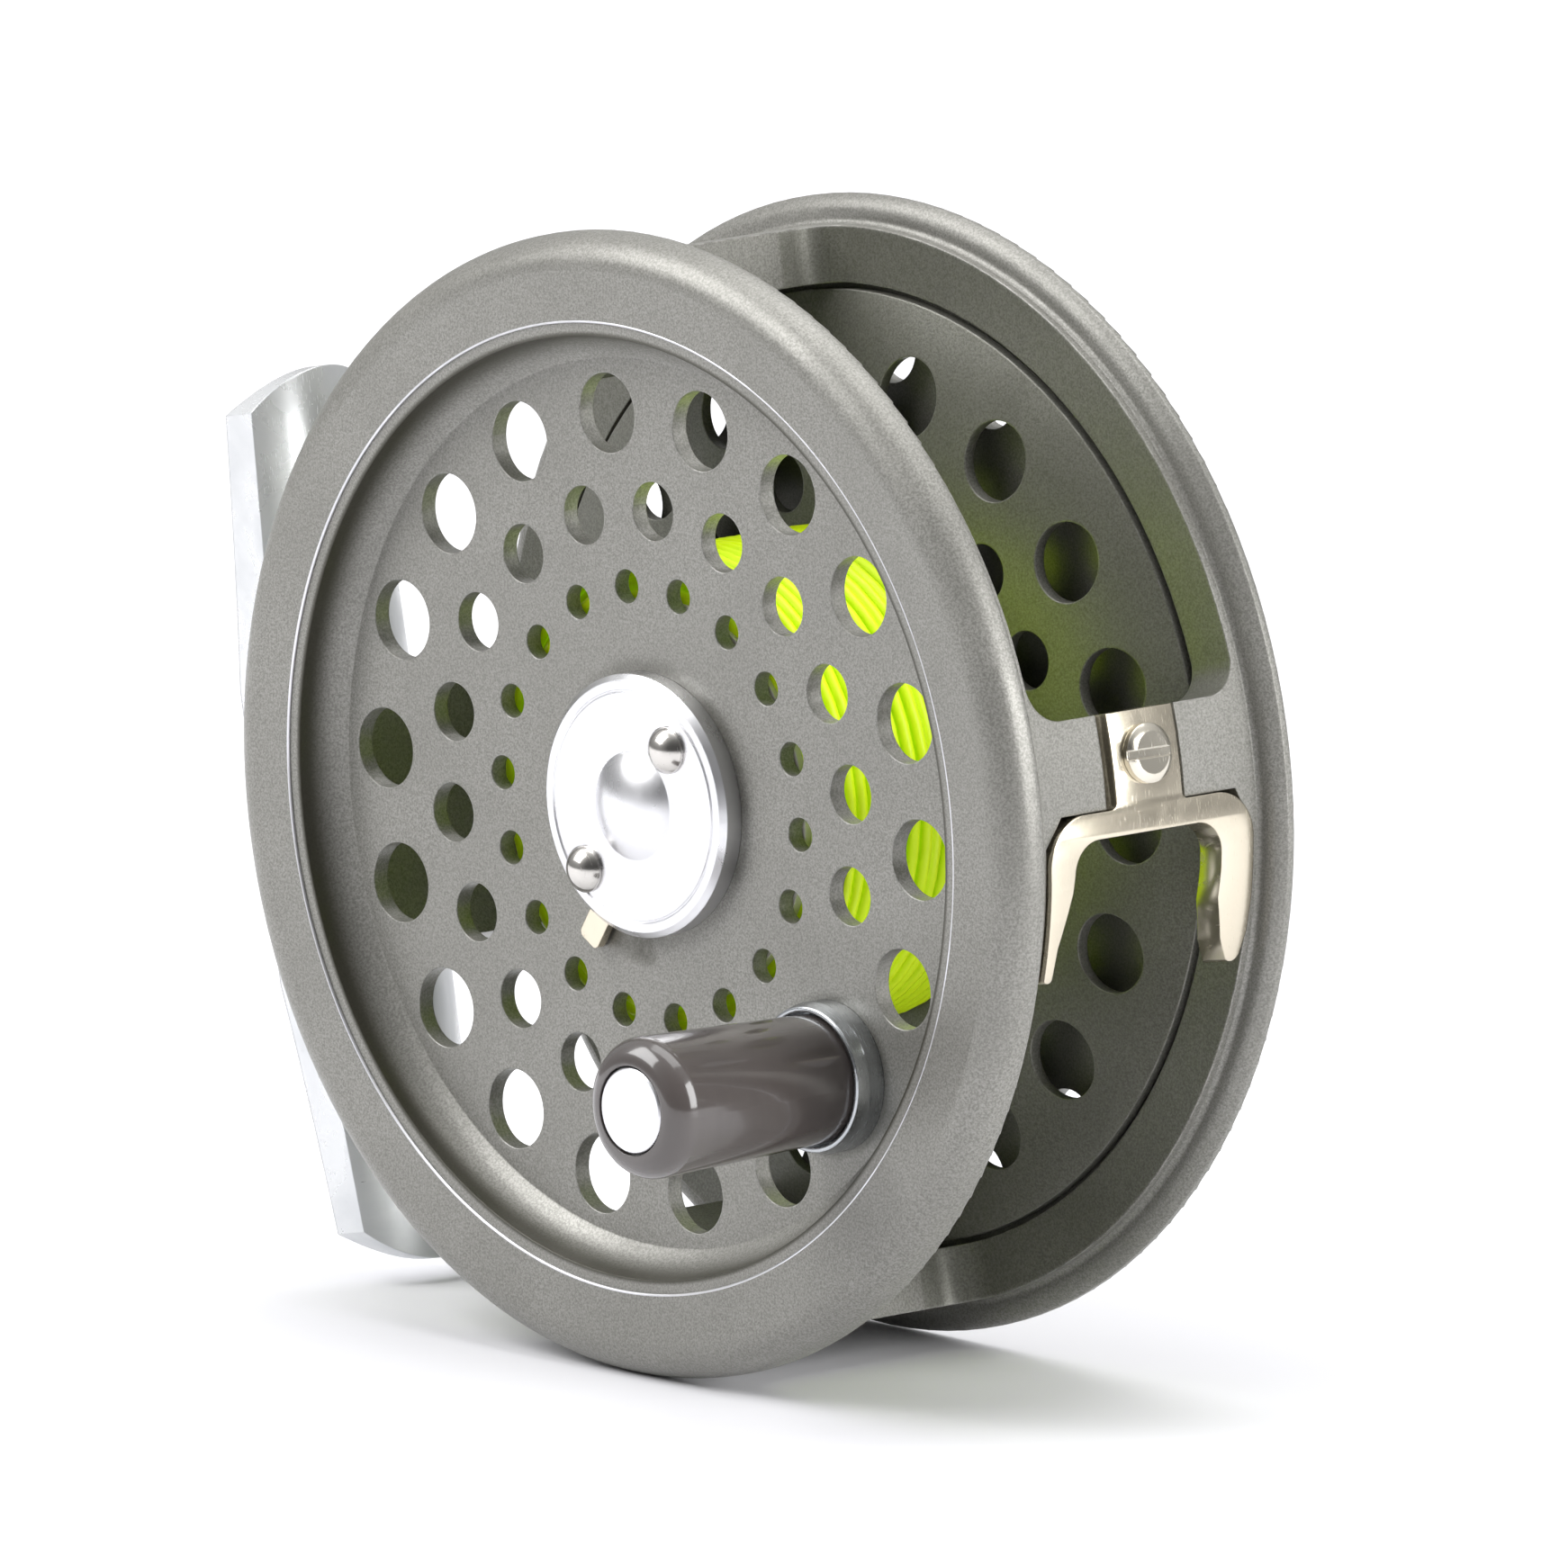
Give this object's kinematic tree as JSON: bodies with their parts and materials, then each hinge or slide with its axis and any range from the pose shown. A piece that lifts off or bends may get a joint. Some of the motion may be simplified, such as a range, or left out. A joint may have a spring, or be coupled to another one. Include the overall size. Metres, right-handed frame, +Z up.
{
  "type": "fly reel",
  "caption": "Narrow open fly reel with a perforated spool, overlapping rim, turning knob, forked line guard, click check, polished foot and lime fly line.",
  "frame": {"origin": "centre of the bounding box on the surface the reel stands on, below the spindle and a little to its left", "axes": "+Z up, +Y along the spindle from the handle side to the back plate, +X away from the foot towards the line guard"},
  "size_m": [0.1036, 0.054, 0.092],
  "materials": {
    "enamel": "satin fine-grained metallic grey enamel",
    "nickel_silver": "polished warm nickel silver",
    "nickel_screw": "polished nickel silver",
    "polished_alloy": "bright polished, lightly handled",
    "bright_alloy": "bright turned",
    "satin_alloy": "satin",
    "brass": "turned",
    "bronze": "turned bronze",
    "steel": "polished",
    "spring_steel": "blued spring steel",
    "backing": "braided",
    "lime_line": "smooth bright lime coating",
    "knob_plastic": "gloss warm dark grey"
  },
  "bodies": {
    "frame": {"frame": "enamel", "line_guard": "nickel_silver", "guard_screw": "nickel_screw", "reel_foot": "polished_alloy", "foot_screws": "brass", "spindle": "steel", "spindle_nut": "brass", "pawl_posts": "steel", "check_spring": "spring_steel", "spring_studs": "steel"},
    "bush": {"bearing_bush": "bronze"},
    "spool": {"spool": "enamel", "palming_rim": "enamel", "ratchet_gear": "brass", "gear_screws": "steel", "backing_line": "backing", "fly_line": "lime_line", "latch_cover": "bright_alloy", "cover_screws": "steel", "latch_spring": "spring_steel", "handle_ferrule": "bright_alloy", "handle_spindle": "bright_alloy"},
    "latch": {"latch_lever": "nickel_silver"},
    "knob": {"handle_knob": "knob_plastic"},
    "regulator": {"regulator_knob": "satin_alloy", "regulator_cam": "brass", "regulator_screw": "steel"},
    "pawl_left": {"pawl_left": "steel"},
    "pawl_right": {"pawl_right": "steel"}
  },
  "joints": [
    {"name": "spool_spin", "type": "hinge", "parent": "frame", "child": "bush", "pos_m": [0.00576, -0.00522, 0.046], "axis": [0, -1, 0], "continuous": true},
    {"name": "spool_lift", "type": "slide", "parent": "bush", "child": "spool", "axis": [0, -1, 0], "range_m": [0, 0.036]},
    {"name": "latch_swing", "type": "hinge", "parent": "spool", "child": "latch", "pos_m": [0.0098, -0.00522, 0.05109], "axis": [0, -1, 0], "range_deg": [0, 6], "stiffness_Nm_per_rad": 0.005, "springref_deg": -5.73},
    {"name": "knob_spin", "type": "hinge", "parent": "spool", "child": "knob", "pos_m": [0.02686, -0.00522, 0.02695], "axis": [0, -1, 0], "continuous": true},
    {"name": "regulator_turn", "type": "hinge", "parent": "frame", "child": "regulator", "pos_m": [0.00368, -0.00522, 0.05619], "axis": [0, 1, 0], "range_deg": [-90, 90]},
    {"name": "pawl_left_click", "type": "hinge", "parent": "frame", "child": "pawl_left", "pos_m": [-0.00154, -0.00522, 0.05369], "axis": [0, -1, 0], "range_deg": [-12, 12], "stiffness_Nm_per_rad": 0.002},
    {"name": "pawl_right_click", "type": "hinge", "parent": "frame", "child": "pawl_right", "pos_m": [0.00947, -0.00522, 0.05593], "axis": [0, -1, 0], "range_deg": [-12, 12], "stiffness_Nm_per_rad": 0.002}
  ]
}
